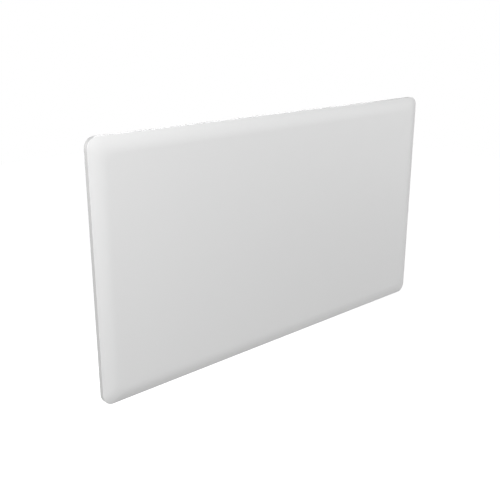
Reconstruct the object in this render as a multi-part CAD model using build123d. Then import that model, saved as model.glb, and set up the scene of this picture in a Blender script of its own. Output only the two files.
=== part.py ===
from build123d import *
import math
import os

# A slim panel convector heater and the steel bracket that it hangs on.
# A white pressed cover with curved edges sits on a pale grey rim frame. Behind the frame, set in from its
# edges, are a sheet steel air duct with a finned element in it and, at the right end, a moulded control box.
# The frame is +X to the right as seen from the room, +Y into the wall and +Z up. The wall is the plane y = 0,
# and the origin is the middle of the bracket's four wall screws. Sizes are in millimetres.

# Whole heater
heater_width = 725.0
heater_height = 400.0
heater_depth = 55.0
wall_gap = 27.0

# Front cover: a flat face, a curved band along each edge and a crease where the band ends
cover_corner_radius = 16.5
cover_edge_radius = 45.0
cover_edge_angle = 34.0
cover_sheet = 1.0
cover_return = 6.4

# Rim frame: a shallow wall all round and a flat ledge behind it
rim_depth = 8.6
rim_sheet = 0.8
rim_bend = 1.4
rim_joint = 0.2
nesting_gap = 0.2

# Tabs that join the cover to the ledge
tab_width = 14.0
tab_length = 7.0
tab_sheet = 1.0
tab_height = 5.0
tab_end_margin = 70.0
long_side_tabs = 4
duct_screw_count = 5
short_side_tabs = 2

# Duct casing
side_inset = 32.5
top_inset = 17.0
casing_sheet = 0.8
casing_corner = 10.0
casing_square_corner = 2.0
casing_back_bend = 1.6
flange_width = 7.0
window_gap = 0.3
bead_length = 270.0
bead_width = 10.0
bead_height = 1.2
bead_offset = 62.0

# Grilles in the top and bottom walls of the duct
grille_sheet = 1.0
grille_end_inset = 24.0
grille_side_inset = 4.0
grille_overlap = 2.5
slot_width = 3.6
slot_pitch = 7.2

# Front plate of the duct
front_plate_sheet = 0.8

# Heating element
element_height = -122.0
leg_spacing = 24.0
tube_radius = 4.0
tube_overhang = 8.0
fin_height = 52.0
fin_depth = 25.0
fin_sheet = 0.5
fin_pitch = 9.0
fin_count = 54
fin_fit = 0.05
hanger_gap = 14.0
hanger_sheet = 1.2
hanger_foot = 14.0
hanger_margin = 4.0
bush_radius = 7.5
bush_length = 7.0
bush_groove = 1.0
pin_radius = 1.6
pin_length = 9.0

# Overheat cut-out
cutout_radius = 8.0
cutout_length = 9.0
cutout_clearance = 14.0
cutout_plate_sheet = 1.0
cutout_foot = 12.0
cutout_place = 120.0

# Control box
box_width = 80.0
box_wall = 2.0
box_flange = 2.0
box_joint = 0.4
lid_sheet = 1.5
controls_setback = 45.5

# Thermostat knob and selector
knob_height = 112.0
knob_radius = 12.0
knob_length = 14.0
knob_skirt_radius = 13.2
knob_skirt_length = 2.4
knob_gap = 0.6
knob_edge = 1.5
knob_flutes = 20
flute_radius = 0.9
shaft_radius = 3.0
shaft_fit = 0.05
shaft_grip = 9.0
selector_size = 16.0
selector_depth = 8.0
selector_back = 1.5

# Power switch
switch_height = 52.0
switch_width = 12.8
switch_tall = 19.0
switch_depth = 16.0
switch_wall = 1.1
bezel_margin = 1.6
bezel_thickness = 1.8
rocker_angle = 8.0
rocker_gap = 0.4
rocker_crown = 0.6
rocker_pivot_depth = 4.0
rocker_pivot_radius = 1.5
rocker_heel = 3.0
blade_length = 6.0
blade_width = 4.0
blade_sheet = 0.8

# Setback button and indicator lamp
button_height = 150.0
button_radius = 4.0
button_proud = 2.4
button_travel = 1.2
button_gap = 0.25
button_collar = 1.4
button_collar_margin = 1.2
button_edge = 0.5
button_switch_size = 6.0
lamp_height = 84.0
lamp_radius = 2.0
lamp_proud = 0.6

# Circuit boards
board_width = 44.0
board_tall = 96.0
board_sheet = 1.6
board_bottom = 72.0
board_inset = 6.0
boss_radius = 3.4
boss_height = 2.5
boss_inset = 4.0
boss_spacing = 28.0
side_board_margin = 6.0
connector_width = 14.0
connector_depth = 9.0
connector_tall = 10.0
connector_centre = 18.0
relay_width = 15.0
relay_depth = 15.0
relay_tall = 19.0
relay_rise = 28.0
transformer_width = 26.0
transformer_depth = 20.0
transformer_tall = 20.0
transformer_rise = 60.0
part_inset = 6.0

# Cord inlet
gland_radius = 7.8
gland_bore = 4.1
gland_collar_radius = 11.0
gland_collar = 5.0
gland_inside = 8.5
gland_nut = 4.0

# Terminal block
block_width = 36.0
block_depth = 14.0
block_tall = 18.0
block_rise = 24.0
block_screw_radius = 2.2
block_screw_depth = 2.0
block_poles = 3

# Leads and their grommets
lead_radius = 1.2
lead_bend = 6.0
lead_fit = 0.05
grommet_radius = 6.0
grommet_neck = 4.5
grommet_lip = 1.0
earth_setback = 37.0
earth_stud_radius = 2.0
earth_stud_inset = 17.0
earth_nut_radius = 3.5
earth_nut_height = 2.4
earth_lug = 8.0
earth_lug_sheet = 0.8
element_riser_inset = 12.0
board_lead_setback = 37.6
relay_lead_setback = 44.0

# Room sensor
sensor_radius = 2.4
sensor_length = 16.0
sensor_rise = 38.0
sensor_wall_gap = 6.0
holder_width = 6.4
holder_height = 4.0
vent_slots = 5
vent_width = 2.4
vent_length = 22.0
vent_pitch = 6.0

# Screws and rivets
screw_radius = 1.5
screw_head_radius = 2.8
screw_head = 1.8
screw_fit = 0.1
screw_tip = 2.5
screw_margin = 0.8
recess_length = 3.6
recess_width = 0.9
recess_depth = 1.0
rivet_radius = 2.0
rivet_head_radius = 3.6
rivet_head = 1.2
rivet_tail = 1.0

# Wall bracket
upright_spacing = 340.0
upright_width = 30.0
upright_sheet = 1.5
upright_front_gap = 2.0
upright_top = 165.0
upright_foot = 32.0
upright_foot_lip = 6.0
wall_hole_spacing = 260.0
wall_hole_radius = 3.25
crossbar_offset = 95.0
crossbar_height = 24.0
crossbar_lip = 7.0
crossbar_tab = 16.0

# Pivot at the foot of the bracket
pivot_height = -150.0
pivot_setback = 9.0
pivot_radius = 3.0
pivot_slot_gap = 0.3
pivot_head_radius = 4.6
pivot_head = 1.5
hook_radius = 7.0
hook_lift = 12.0
ear_sheet = 1.5
ear_gap = 1.5
ear_radius = 6.0
ear_plate_height = 26.0
ear_plate_margin = 11.0
ear_rivet_spacing = 14.0

# Rubber stops that meet the uprights' feet when the heater is tilted
tilt_limit = 25.0
stop_radius = 5.0
stop_height = -172.0
stop_gap = 0.3

# Lock bolts at the top of the bracket
catch_height = 140.0
catch_sheet = 2.0
catch_width = 24.0
catch_reach = 18.0
catch_plate_height = 22.0
catch_rivet_spacing = 13.0
catch_rivet_rise = 5.5
bolt_radius = 4.0
bolt_fit = 0.3
bolt_setback = 16.0
bolt_travel = 12.0
bolt_clear = 3.0
bolt_play = 0.3
bolt_head_radius = 7.0
bolt_head = 6.0
bolt_head_edge = 1.2
bolt_collar_radius = 5.6
bolt_collar = 1.4
guide_sheet = 1.5
guide_side_gap = 0.5
guide_front_gap = 1.0

# Planes from front to back
front_y = -(wall_gap + heater_depth)
edge_width = cover_edge_radius * math.sin(math.radians(cover_edge_angle))
crease_y = front_y + cover_edge_radius * (1 - math.cos(math.radians(cover_edge_angle)))
hem_y = crease_y + cover_sheet
rim_front_y = hem_y + rim_joint
rim_back_y = rim_front_y + rim_depth
ledge_y = rim_back_y - rim_sheet
flange_y = ledge_y - casing_sheet
front_plate_y = flange_y - front_plate_sheet
tab_foot_y = ledge_y - tab_sheet
box_flange_y = ledge_y - box_flange
lid_y = box_flange_y - lid_sheet
casing_back_y = -wall_gap
casing_inside_y = casing_back_y - casing_sheet
duct_mid_y = (ledge_y + casing_inside_y) / 2
controls_y = -controls_setback
box_inside_y = casing_back_y - box_wall

# Outlines seen from the front
half_width = heater_width / 2
half_height = heater_height / 2
return_inset = rim_sheet + nesting_gap
cavity_inset = return_inset + cover_sheet
casing_half = half_height - top_inset
casing_left = -(half_width - side_inset)
box_right = half_width - side_inset
box_left = box_right - box_width
casing_right = box_left - box_joint
casing_inside_right = casing_right - casing_sheet
casing_inside_half = casing_half - casing_sheet
flange_half = casing_half + flange_width
flange_screw = screw_head_radius + screw_margin
box_inside_left = box_left + box_wall
box_inside_right = box_right - box_wall
box_inside_half = casing_half - box_wall
box_mid = (box_left + box_right) / 2

# Heating element
element_mid = (casing_left + casing_right) / 2
fin_half = (fin_count - 1) * fin_pitch / 2
hanger_offset = fin_half + hanger_gap
leg_heights = [element_height + leg_spacing / 2, element_height - leg_spacing / 2]
tube_end = element_mid + hanger_offset + tube_overhang
pin_end = tube_end + pin_length
cutout_height = element_height + fin_height / 2 + cutout_clearance

# Inside the control box
board_back_y = box_inside_y - boss_height
board_front_y = board_back_y - board_sheet
board_right = box_inside_right - board_inset
board_left = board_right - board_width
side_board_right = box_inside_right - selector_depth
side_board_left = side_board_right - board_sheet
board_holes_x = [board_left + boss_inset, board_left + boss_inset + boss_spacing]
board_holes_z = [board_bottom + boss_inset, board_bottom + board_tall - boss_inset]
block_bottom = -box_inside_half + block_rise
block_top = block_bottom + block_tall
block_front_y = box_inside_y - block_depth
block_mid_y = box_inside_y - block_depth / 2
pole_pitch = block_width / block_poles
pole_places = [box_mid + (i - (block_poles - 1) / 2) * pole_pitch for i in range(block_poles)]
connector_mid = board_left + connector_centre
sensor_height = -casing_half + sensor_rise
sensor_x = box_inside_right - sensor_wall_gap
earth_y = -earth_setback
earth_stud_x = casing_inside_right - earth_stud_inset

# Pivot and lock
pivot_y = casing_back_y + pivot_setback
upright_front_y = casing_back_y + upright_front_gap
upright_outer = upright_width / 2
upright_inner = upright_outer - upright_sheet
upright_bottom = pivot_height - upright_foot
ear_inner = upright_outer + ear_gap
ear_outer = ear_inner + ear_sheet
ear_back_y = casing_back_y + ear_sheet
catch_back_y = casing_back_y + catch_sheet
catch_top = catch_height + catch_sheet / 2
bolt_y = -bolt_setback
bolt_tip = catch_top + bolt_clear
guide_low = bolt_tip + guide_sheet
collar_low = guide_low + bolt_play + bolt_travel
collar_high = collar_low + bolt_collar
guide_high = collar_high + bolt_play
bolt_head_low = guide_high + guide_sheet + bolt_play + bolt_travel


def block(x, y, z):
    """A box between the two values given for each axis."""
    size = [abs(b - a) for a, b in (x, y, z)]
    middle = [(a + b) / 2 for a, b in (x, y, z)]
    return Pos(*middle) * Box(*size)


def rod(start, direction, length, radius):
    """A cylinder from start along direction."""
    upright = Cylinder(radius, length, align=(Align.CENTER, Align.CENTER, Align.MIN))
    return Plane(origin=start, z_dir=direction) * upright


def slab(width, height, radius, y_near, y_far, x=0.0, z=0.0):
    """A rounded rectangle seen from the front, from y_near to y_far."""
    outline = Plane.XZ * RectangleRounded(width, height, radius)
    return extrude(Pos(x, y_far, z) * outline, y_far - y_near)


def curve_depth(reach, radius):
    """How far the edge curve has dropped at this distance outside the flat face."""
    return radius - math.sqrt(radius**2 - reach**2)


def curve_arc(offset, near, far, front, radius):
    """The edge curve between two distances outside the flat face, with offset added to each."""
    angles = [math.asin(reach / radius) for reach in (near, far)]
    middle = radius * math.sin(sum(angles) / 2)
    points = [(offset + r, front + curve_depth(r, radius)) for r in (near, middle, far)]
    return ThreePointArc(*points)


def barrel_face(half, front, radius, back, inset):
    """Half the cover's section: a flat front, the edge curve and the side, closed at the back."""
    flat = half - edge_width
    edge = half - inset
    side_y = front + curve_depth(edge_width - inset, radius)
    curve = curve_arc(flat, 0, edge_width - inset, front, radius)
    lines = [
        Line((0, front), (flat, front)),
        curve,
        Line((edge, side_y), (edge, back)),
        Line((edge, back), (0, back)),
        Line((0, back), (0, front)),
    ]
    return make_face(lines)


def corner_face(front, radius, back, inset):
    """The section that turns about a corner's centre."""
    start = edge_width - cover_corner_radius
    edge = cover_corner_radius - inset
    lines = []
    if start < 0:
        lines.append(Line((0, front), (-start, front)))
    near = max(start, 0)
    lines.append(curve_arc(-start, near, edge_width - inset, front, radius))
    lines.append(Line(lines[-1] @ 1, (edge, back)))
    lines.append(Line((edge, back), (0, back)))
    lines.append(Line((0, back), lines[0] @ 0))
    return make_face(lines)


def pillow(front, radius, back, inset):
    """The cover's form: flat in front, curved near its edges and rounded at its corners."""
    upright_section = Plane(origin=(0, 0, 0), x_dir=(0, 0, 1), z_dir=(-1, 0, 0))
    tall_face = upright_section * barrel_face(half_height, front, radius, back, inset)
    tall = extrude(tall_face, half_width - inset, both=True)
    wide = extrude(barrel_face(half_width, front, radius, back, inset), half_height - inset, both=True)
    centre_x = half_width - cover_corner_radius
    centre_z = half_height - cover_corner_radius
    quarter = tall & wide & block((0, half_width), (front - 1, back + 1), (0, half_height))
    quarter -= block((centre_x, half_width + 1), (front - 1, back + 1), (centre_z, half_height + 1))
    corner_plane = Plane(origin=(centre_x, 0, centre_z), x_dir=(1, 0, 0), z_dir=(0, 0, 1))
    corner_axis = Axis((centre_x, 0, centre_z), (0, -1, 0))
    quarter += revolve(corner_plane * corner_face(front, radius, back, inset), corner_axis, 90)
    half = quarter + mirror(quarter, Plane.XY)
    return half + mirror(half, Plane.YZ)


def front_cover():
    """The pressed cover, with a step at its crease and a return that nests inside the rim."""
    skin = pillow(front_y, cover_edge_radius, hem_y, 0)
    step = heater_width - 2 * return_inset, heater_height - 2 * return_inset
    wall = slab(*step, cover_corner_radius - return_inset, crease_y, hem_y + cover_return)
    inside_radius = cover_edge_radius - cover_sheet
    inside = pillow(front_y + cover_sheet, inside_radius, hem_y + cover_return + 1, cavity_inset)
    return skin + wall - inside


def spread(low, high, count):
    """Evenly spaced values from low to high."""
    return [low + (high - low) * i / (count - 1) for i in range(count)]


def duct_prism(left, right, half, left_radius, right_radius, y_near, y_far):
    """An upright rectangle with its own corner radius at each end, from y_near to y_far."""
    outline = Pos((left + right) / 2, 0) * Rectangle(right - left, 2 * half)
    ends = outline.vertices().group_by(Axis.X)
    left_corners, right_corners = ends[0], ends[-1]
    outline = fillet(left_corners, left_radius)
    right_corners = outline.vertices().group_by(Axis.X)[-1]
    outline = fillet(right_corners, right_radius)
    return extrude(Pos(0, y_far, 0) * (Plane.XZ * outline), y_far - y_near)


def screw(x, z, head_y, tip_y):
    """A pan head screw put in from behind, with a cross recess in its head."""
    head = rod((x, head_y, z), (0, 1, 0), screw_head, screw_head_radius)
    shank = rod((x, tip_y, z), (0, 1, 0), head_y - tip_y, screw_radius)
    recess_y = (head_y + screw_head - recess_depth, head_y + screw_head + 1)
    reach = recess_length / 2
    narrow = recess_width / 2
    across = block((x - reach, x + reach), recess_y, (z - narrow, z + narrow))
    down = block((x - narrow, x + narrow), recess_y, (z - reach, z + reach))
    return head + shank - across - down


def screw_holes(places):
    """Holes through everything from front to back where screws go."""
    return [rod((x, front_y, z), (0, 1, 0), heater_depth, screw_radius + screw_fit) for x, z in places]


def rivet(start, direction, grip):
    """A rivet whose head lies behind start and whose tail lies at the end of its grip."""
    head = rod(start, [-d for d in direction], rivet_head, rivet_head_radius)
    shank = rod(start, direction, grip + rivet_tail, rivet_radius)
    end = [s + d * grip for s, d in zip(start, direction)]
    tail = rod(end, direction, rivet_tail, (rivet_radius + rivet_head_radius) / 2)
    return head + shank + tail


def lead(points):
    """An insulated wire along straight runs with a rounded bend at each corner."""
    route = FilletPolyline(*points, radius=lead_bend)
    section = Plane(origin=route @ 0, z_dir=route % 0) * Circle(lead_radius)
    return sweep(section, path=route)


def tab_places():
    """Where the cover's tabs stand: a place on the outline and the way in from it."""
    places = []
    for side in (-1, 1):
        for x in spread(-half_width + tab_end_margin, half_width - tab_end_margin, long_side_tabs):
            places.append((x, side * half_height, 0, -side))
        for z in spread(-half_height + tab_end_margin, half_height - tab_end_margin, short_side_tabs):
            places.append((side * half_width, z, -side, 0))
    return places


def cover_screw_places():
    """The screws through the tabs' feet."""
    inset = cavity_inset + tab_sheet + screw_head_radius
    return [(x + in_x * inset, z + in_z * inset) for x, z, in_x, in_z in tab_places()]


def duct_screw_places():
    """The screws through the duct's flange."""
    side = casing_left - flange_screw
    edge = casing_half + flange_screw
    end_gap = casing_corner + flange_width
    across = spread(casing_left + end_gap, casing_right - end_gap, duct_screw_count)
    places = [(x, z) for x in across for z in (-edge, edge)]
    return places + [(side, z) for z in spread(-casing_half / 2, casing_half / 2, 2)]


def box_screw_places():
    """The screws through the control box's flange."""
    side = box_right + flange_screw
    edge = casing_half + flange_screw
    places = [(box_mid, z) for z in (-edge, edge)]
    return places + [(side, z) for z in spread(-casing_half / 2, casing_half / 2, 3)]


def tab_spans(x, z, in_x, in_z, along, near, far):
    """The x and z ranges of a plate that lies between two distances in from the outline."""
    x_span = (x + in_x * near, x + in_x * far) if in_x else (x - along, x + along)
    z_span = (z + in_z * near, z + in_z * far) if in_z else (z - along, z + along)
    return x_span, z_span


def cover_tab(x, z, in_x, in_z):
    """A tab with one leg on the cover's return and one on the ledge."""
    along = tab_width / 2
    start = cavity_inset
    foot_spans = tab_spans(x, z, in_x, in_z, along, start, start + tab_length)
    leg_spans = tab_spans(x, z, in_x, in_z, along, start, start + tab_sheet)
    foot = block(foot_spans[0], (tab_foot_y, ledge_y), foot_spans[1])
    return foot + block(leg_spans[0], (ledge_y - tab_height, ledge_y), leg_spans[1])


def cover_tabs():
    """All the tabs, drilled for their screws."""
    holes = screw_holes(cover_screw_places())
    return [cover_tab(*place) - hole for place, hole in zip(tab_places(), holes)]


def rim_frame():
    """The pale frame that shows as a band behind the cover, with a window for the duct and the box."""
    outer = slab(heater_width, heater_height, cover_corner_radius, rim_front_y, rim_back_y)
    outer = fillet(outer.faces().sort_by(Axis.Y)[-1].edges(), rim_bend)
    wall = 2 * rim_sheet
    inside_radius = cover_corner_radius - rim_sheet
    inside = slab(heater_width - wall, heater_height - wall, inside_radius, rim_front_y - 1, ledge_y)
    inside = fillet(inside.faces().sort_by(Axis.Y)[-1].edges(), rim_bend - rim_sheet)
    corner = casing_corner + window_gap
    left = casing_left - window_gap
    right = box_right + window_gap
    window = duct_prism(left, right, casing_half + window_gap, corner, corner, rim_front_y, rim_back_y + 1)
    places = cover_screw_places() + duct_screw_places() + box_screw_places()
    return outer - inside - window - screw_holes(places)


def pan(left, right, corners, wall, back_wall, flange_near, flange_ends):
    """A pan open to the front, with a flange round the ends that are named."""
    left_radius, right_radius = corners
    outer = duct_prism(left, right, casing_half, left_radius, right_radius, flange_near, casing_back_y)
    outer = fillet(outer.faces().sort_by(Axis.Y)[-1].edges(), casing_back_bend)
    low = left - flange_width * flange_ends[0]
    high = right + flange_width * flange_ends[1]
    radii = [r + flange_width * end for r, end in zip(corners, flange_ends)]
    flange = duct_prism(low, high, flange_half, *radii, flange_near, ledge_y)
    inner_radii = [max(r - wall, casing_back_bend / 2) for r in corners]
    far = casing_back_y - back_wall
    inside = duct_prism(left + wall, right - wall, casing_half - wall, *inner_radii, flange_near - 1, far)
    return outer + flange - inside


def grille_window(z_low, z_high):
    """The opening under a grille."""
    x_range = (casing_left + grille_end_inset, casing_right - grille_end_inset)
    y_range = (ledge_y + grille_side_inset, casing_inside_y - grille_side_inset)
    return block(x_range, y_range, (z_low, z_high))


def lead_places():
    """Where leads pass from the duct to the control box: two for the element and one for earth."""
    return [(duct_mid_y, leg_heights[0]), (duct_mid_y, leg_heights[1]), (earth_y, element_height)]


def lead_holes():
    """The holes for the grommets' necks."""
    start = casing_inside_right - 1
    length = box_inside_left - casing_inside_right + 2
    return [rod((start, y, z), (1, 0, 0), length, grommet_neck) for y, z in lead_places()]


def rivet_places():
    """Where rivets go through the casing's back: x, z and the outermost face under the head."""
    places = []
    for side in (-1, 1):
        upright_x = side * upright_spacing / 2
        for reach in (-1, 1):
            ear_x = upright_x + reach * (ear_outer + ear_plate_margin / 2)
            for z in (pivot_height - ear_rivet_spacing / 2, pivot_height + ear_rivet_spacing / 2):
                places.append((ear_x, z, ear_back_y, 0))
            catch_x = upright_x + reach * catch_rivet_spacing / 2
            places.append((catch_x, catch_top - catch_plate_height + catch_rivet_rise, catch_back_y, 0))
        hanger_x = element_mid + side * (hanger_offset + hanger_foot / 2)
        for z in (element_height - fin_height / 2, element_height + fin_height / 2):
            places.append((hanger_x, z, casing_back_y, hanger_sheet))
    places.append((cutout_place, cutout_height - cutout_foot / 2, casing_back_y, cutout_plate_sheet))
    return places


def rivet_holes():
    """Holes for the rivets through all that they join."""
    start = casing_inside_y - heater_depth / 4
    return [rod((x, start, z), (0, 1, 0), heater_depth / 2, rivet_radius) for x, z, y, grip in rivet_places()]


def casing_rivets():
    """The rivets, with their heads towards the wall."""
    return [rivet((x, y, z), (0, -1, 0), y - casing_inside_y + grip) for x, z, y, grip in rivet_places()]


def bead_form(inset, y_near, y_far, z):
    """The outside or the inside of one of the beads across the duct's back."""
    outline = Plane.XZ * SlotOverall(bead_length - 2 * inset, bead_width - 2 * inset)
    return extrude(Pos(0, y_far, z) * outline, y_far - y_near)


def duct_casing():
    """The folded sheet duct: back, sides and flange, with its beads, grille openings and holes."""
    corners = (casing_corner, casing_square_corner)
    shell = pan(casing_left, casing_right, corners, casing_sheet, casing_sheet, flange_y, (1, 0))
    for z in (-bead_offset, bead_offset):
        bead_y = casing_back_y + bead_height
        shell += bead_form(0, casing_inside_y, bead_y, z)
        shell -= bead_form(casing_sheet, casing_inside_y - 1, bead_y - casing_sheet, z)
    shell -= grille_window(casing_inside_half - 1, casing_half + 1)
    shell -= grille_window(-casing_half - 1, -casing_inside_half + 1)
    shell -= screw_holes(duct_screw_places())
    shell -= lead_holes()
    shell -= rivet_holes()
    stud_start = (earth_stud_x, casing_inside_y - 1, element_height)
    return shell - rod(stud_start, (0, 1, 0), wall_gap / 2, earth_stud_radius)


def duct_front_plate():
    """The flat plate that closes the duct behind the cover."""
    radii = (casing_corner + flange_width, casing_square_corner)
    plate = duct_prism(casing_left - flange_width, casing_right, flange_half, *radii, front_plate_y, flange_y)
    return plate - screw_holes(duct_screw_places())


def grille(z_low):
    """A slotted plate that lies inside the duct's top or bottom wall."""
    x_low = casing_left + grille_end_inset - grille_overlap
    x_high = casing_right - grille_end_inset + grille_overlap
    y_low = ledge_y + grille_side_inset - grille_overlap
    y_high = casing_inside_y - grille_side_inset + grille_overlap
    plate = block((x_low, x_high), (y_low, y_high), (z_low, z_low + grille_sheet))
    count = int((x_high - x_low - 2 * grille_overlap) / slot_pitch)
    length = y_high - y_low - 2 * grille_overlap - slot_width
    reach = (count - 1) * slot_pitch / 2
    middle = (x_low + x_high) / 2
    slot = extrude(SlotOverall(length, slot_width, rotation=90), grille_sheet + 2)
    places = spread(middle - reach, middle + reach, count)
    return plate - [Pos(x, (y_low + y_high) / 2, z_low - 1) * slot for x in places]


def element_tube():
    """The sheathed heater tube: two straight legs joined by a half turn at the left."""
    bend_x = element_mid - hanger_offset - tube_overhang
    high, low = leg_heights
    upper = Line((tube_end, duct_mid_y, high), (bend_x, duct_mid_y, high))
    left_end = (bend_x - leg_spacing / 2, duct_mid_y, element_height)
    turn = ThreePointArc((bend_x, duct_mid_y, high), left_end, (bend_x, duct_mid_y, low))
    lower = Line((bend_x, duct_mid_y, low), (tube_end, duct_mid_y, low))
    section = Plane(origin=(tube_end, duct_mid_y, high), z_dir=(-1, 0, 0)) * Circle(tube_radius)
    return sweep(section, path=Wire([upper, turn, lower]))


def element_pins():
    """The cold pins that stand out of the tube's ends."""
    return [rod((tube_end, duct_mid_y, z), (1, 0, 0), pin_length, pin_radius) for z in leg_heights]


def element_fins():
    """The row of aluminium fins pressed onto the tube."""
    y_range = (duct_mid_y - fin_depth / 2, duct_mid_y + fin_depth / 2)
    z_range = (element_height - fin_height / 2, element_height + fin_height / 2)
    plate = block((-fin_sheet / 2, fin_sheet / 2), y_range, z_range)
    for z in leg_heights:
        plate -= rod((-1, duct_mid_y, z), (1, 0, 0), 2, tube_radius + fin_fit)
    places = spread(element_mid - fin_half, element_mid + fin_half, fin_count)
    return [Pos(x, 0, 0) * plate for x in places]


def element_hanger(side):
    """A plate that carries one end of the element, with a foot on the duct's back."""
    x_inner = element_mid + side * hanger_offset
    x_outer = x_inner + side * hanger_sheet
    half_tall = fin_height / 2 + hanger_margin + rivet_head_radius
    z_range = (element_height - half_tall, element_height + half_tall)
    front = duct_mid_y - bush_radius - hanger_margin
    plate = block((x_inner, x_outer), (front, casing_inside_y), z_range)
    foot_y = (casing_inside_y - hanger_sheet, casing_inside_y)
    foot = block((x_inner, x_inner + side * hanger_foot), foot_y, z_range)
    hanger = plate + foot
    for z in leg_heights:
        start = (x_inner - side, duct_mid_y, z)
        hanger -= rod(start, (side, 0, 0), hanger_sheet + 2, bush_radius - bush_groove)
    return hanger - rivet_holes()


def hanger_bushes():
    """Ceramic bushes, grooved to snap into the hangers."""
    bushes = []
    for side in (-1, 1):
        middle = element_mid + side * (hanger_offset + hanger_sheet / 2)
        for z in leg_heights:
            bush = rod((middle - bush_length / 2, duct_mid_y, z), (1, 0, 0), bush_length, bush_radius)
            groove_start = (middle - hanger_sheet / 2, duct_mid_y, z)
            groove = rod(groove_start, (1, 0, 0), hanger_sheet, bush_radius + 1)
            groove -= rod(groove_start, (1, 0, 0), hanger_sheet, bush_radius - bush_groove)
            bore_start = (middle - bush_length, duct_mid_y, z)
            bore = rod(bore_start, (1, 0, 0), 2 * bush_length, tube_radius + fin_fit)
            bushes.append(bush - groove - bore)
    return bushes


def cutout_bracket():
    """The shelf over the fins that carries the overheat cut-out."""
    half = cutout_radius + cutout_plate_sheet
    x_range = (cutout_place - half, cutout_place + half)
    top = cutout_height + cutout_plate_sheet
    shelf = block(x_range, (duct_mid_y - half, casing_inside_y), (cutout_height, top))
    foot_y = (casing_inside_y - cutout_plate_sheet, casing_inside_y)
    foot = block(x_range, foot_y, (cutout_height - cutout_foot, top))
    return shelf + foot - rivet_holes()


def overheat_cutout():
    """The round thermal cut-out on its shelf, with two blade terminals."""
    base = cutout_height + cutout_plate_sheet
    body = rod((cutout_place, duct_mid_y, base), (0, 0, 1), cutout_length, cutout_radius)
    for side in (-1, 1):
        x = cutout_place + side * cutout_radius / 2
        blade_y = (duct_mid_y - blade_width / 2, duct_mid_y + blade_width / 2)
        top = base + cutout_length
        blade_x = (x - blade_sheet / 2, x + blade_sheet / 2)
        body += block(blade_x, blade_y, (top, top + blade_length))
    return body


def earth_stud():
    """The earth stud on the duct's back, with the nuts that hold its lug."""
    lug_back = earth_y + earth_lug_sheet / 2
    lug_front = earth_y - earth_lug_sheet / 2
    stud_end = lug_front - 2 * earth_nut_height
    stud_start = (earth_stud_x, stud_end, element_height)
    stud = rod(stud_start, (0, 1, 0), casing_back_y - stud_end, earth_stud_radius)
    spacer_start = (earth_stud_x, lug_back, element_height)
    spacer = rod(spacer_start, (0, 1, 0), casing_inside_y - lug_back, earth_nut_radius)
    nut_plane = Plane(origin=(earth_stud_x, lug_front, element_height), z_dir=(0, -1, 0))
    return stud + spacer + extrude(nut_plane * RegularPolygon(earth_nut_radius, 6), earth_nut_height)


def earth_lead():
    """The earth lead from the terminal block to its lug on the stud."""
    pole = pole_places[0]
    turn = box_inside_left + element_riser_inset
    points = [
        (pole, block_mid_y, block_top),
        (pole, block_mid_y, element_height),
        (turn, earth_y, element_height),
        (earth_stud_x + earth_lug / 2, earth_y, element_height),
    ]
    half = earth_lug / 2
    sheet = earth_lug_sheet / 2
    lug_x = (earth_stud_x - half, earth_stud_x + half)
    lug = block(lug_x, (earth_y - sheet, earth_y + sheet), (element_height - half, element_height + half))
    lug -= rod((earth_stud_x, earth_y - 1, element_height), (0, 1, 0), 2, earth_stud_radius)
    return lead(points) + lug


def lead_grommets():
    """Rubber grommets that line the holes between the duct and the control box."""
    start = casing_inside_right - grommet_lip
    length = box_inside_left + grommet_lip - start
    grommets = []
    for y, z in lead_places():
        neck = rod((start, y, z), (1, 0, 0), length, grommet_neck)
        lips = rod((start, y, z), (1, 0, 0), grommet_lip, grommet_radius)
        lips += rod((box_inside_left, y, z), (1, 0, 0), grommet_lip, grommet_radius)
        bore = rod((start - 1, y, z), (1, 0, 0), length + 2, lead_radius + lead_fit)
        grommets.append(neck + lips - bore)
    return grommets


def upper_element_lead():
    """The switched lead from the element's upper pin to the relay."""
    turn = box_inside_left + element_riser_inset
    relay_x = board_left + part_inset + relay_width / 4
    relay_y = -relay_lead_setback
    relay_z = board_bottom + relay_rise
    points = [
        (pin_end, duct_mid_y, leg_heights[0]),
        (turn, duct_mid_y, leg_heights[0]),
        (turn, duct_mid_y, board_bottom - connector_tall * 3),
        (relay_x, relay_y, board_bottom - connector_tall / 2),
        (relay_x, relay_y, relay_z),
    ]
    return lead(points)


def lower_element_lead():
    """The lead from the element's lower pin to the side of the terminal block."""
    turn = box_inside_left + lead_bend + grommet_lip
    level = (block_bottom + block_top) / 2
    side = box_mid - block_width / 2
    points = [
        (pin_end, duct_mid_y, leg_heights[1]),
        (turn, duct_mid_y, leg_heights[1]),
        (turn, block_mid_y, level),
        (side, block_mid_y, level),
    ]
    return lead(points)


def supply_leads():
    """The live and neutral leads from the terminal block up to the board's connector."""
    leads = []
    ends = [connector_mid - connector_width / 4, connector_mid + connector_width / 4]
    for pole, end in zip(pole_places[1:], ends):
        points = [
            (pole, -board_lead_setback, block_top),
            (pole, -board_lead_setback, 0),
            (end, -board_lead_setback, board_bottom / 2),
            (end, -board_lead_setback, board_bottom + part_inset / 2),
        ]
        leads.append(lead(points))
    return leads


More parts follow.
